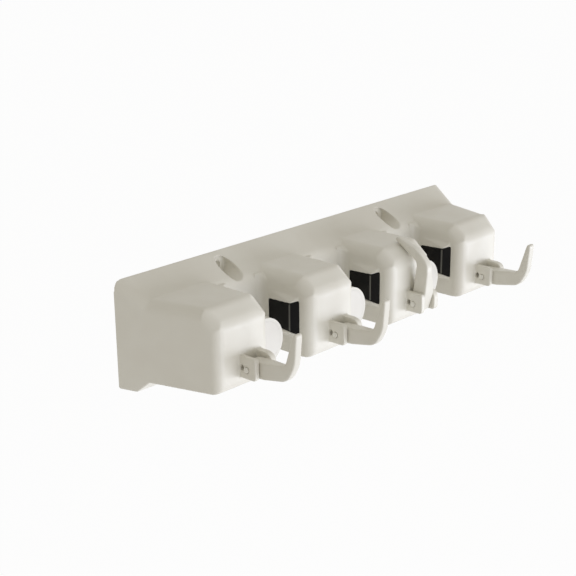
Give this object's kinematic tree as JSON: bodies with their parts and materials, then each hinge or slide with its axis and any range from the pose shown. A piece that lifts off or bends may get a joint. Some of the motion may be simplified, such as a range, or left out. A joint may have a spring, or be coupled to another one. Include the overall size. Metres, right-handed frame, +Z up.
{
  "type": "wall mop holder rack",
  "caption": "Wall rack whose slots grip long handles between a swinging cam and a rubber pad, with a fold-up hook on each finger.",
  "frame": {"origin": "midway between the two wall screw holes, on the wall plane", "axes": "+X along the rack, +Y into the wall, +Z up"},
  "size_m": [0.283, 0.0972, 0.0612],
  "materials": {
    "plastic": "satin moulded",
    "rubber": "matt black",
    "tread": "soft matt",
    "steel": "zinc plated"
  },
  "bodies": {
    "rack": {"rack_body": "plastic", "bracket_screws": "steel", "grip_pad_1": "rubber", "cam_pin_1": "steel", "cam_bracket_1": "plastic", "grip_pad_2": "rubber", "cam_pin_2": "steel", "cam_bracket_2": "plastic", "grip_pad_3": "rubber", "cam_pin_3": "steel", "cam_bracket_3": "plastic", "hook_pin_1": "plastic", "hook_pin_2": "plastic", "hook_pin_3": "plastic", "hook_pin_4": "plastic"},
    "cam_arm_1": {"grip_cam_1": "plastic", "cam_tread_1": "tread"},
    "cam_arm_2": {"grip_cam_2": "plastic", "cam_tread_2": "tread"},
    "cam_arm_3": {"grip_cam_3": "plastic", "cam_tread_3": "tread"},
    "hook_arm_1": {"hook_1": "plastic"},
    "hook_arm_2": {"hook_2": "plastic"},
    "hook_arm_3": {"hook_3": "plastic"},
    "hook_arm_4": {"hook_4": "plastic"}
  },
  "joints": [
    {"name": "cam_1_swing", "type": "hinge", "parent": "rack", "child": "cam_arm_1", "pos_m": [-0.092, -0.039, -0.037], "axis": [0, -1, 0], "range_deg": [0, 80]},
    {"name": "cam_2_swing", "type": "hinge", "parent": "rack", "child": "cam_arm_2", "pos_m": [-0.022, -0.039, -0.037], "axis": [0, -1, 0], "range_deg": [0, 80]},
    {"name": "cam_3_swing", "type": "hinge", "parent": "rack", "child": "cam_arm_3", "pos_m": [0.048, -0.039, -0.037], "axis": [0, -1, 0], "range_deg": [0, 80]},
    {"name": "hook_1_fold", "type": "hinge", "parent": "rack", "child": "hook_arm_1", "pos_m": [-0.1018, -0.0649, -0.0355], "axis": [-1, 0, 0], "range_deg": [0, 74]},
    {"name": "hook_2_fold", "type": "hinge", "parent": "rack", "child": "hook_arm_2", "pos_m": [-0.0318, -0.0649, -0.0355], "axis": [-1, 0, 0], "range_deg": [0, 74]},
    {"name": "hook_3_fold", "type": "hinge", "parent": "rack", "child": "hook_arm_3", "pos_m": [0.0382, -0.0649, -0.0355], "axis": [-1, 0, 0], "range_deg": [-74, 0]},
    {"name": "hook_4_fold", "type": "hinge", "parent": "rack", "child": "hook_arm_4", "pos_m": [0.1082, -0.0649, -0.0355], "axis": [-1, 0, 0], "range_deg": [0, 74]}
  ]
}
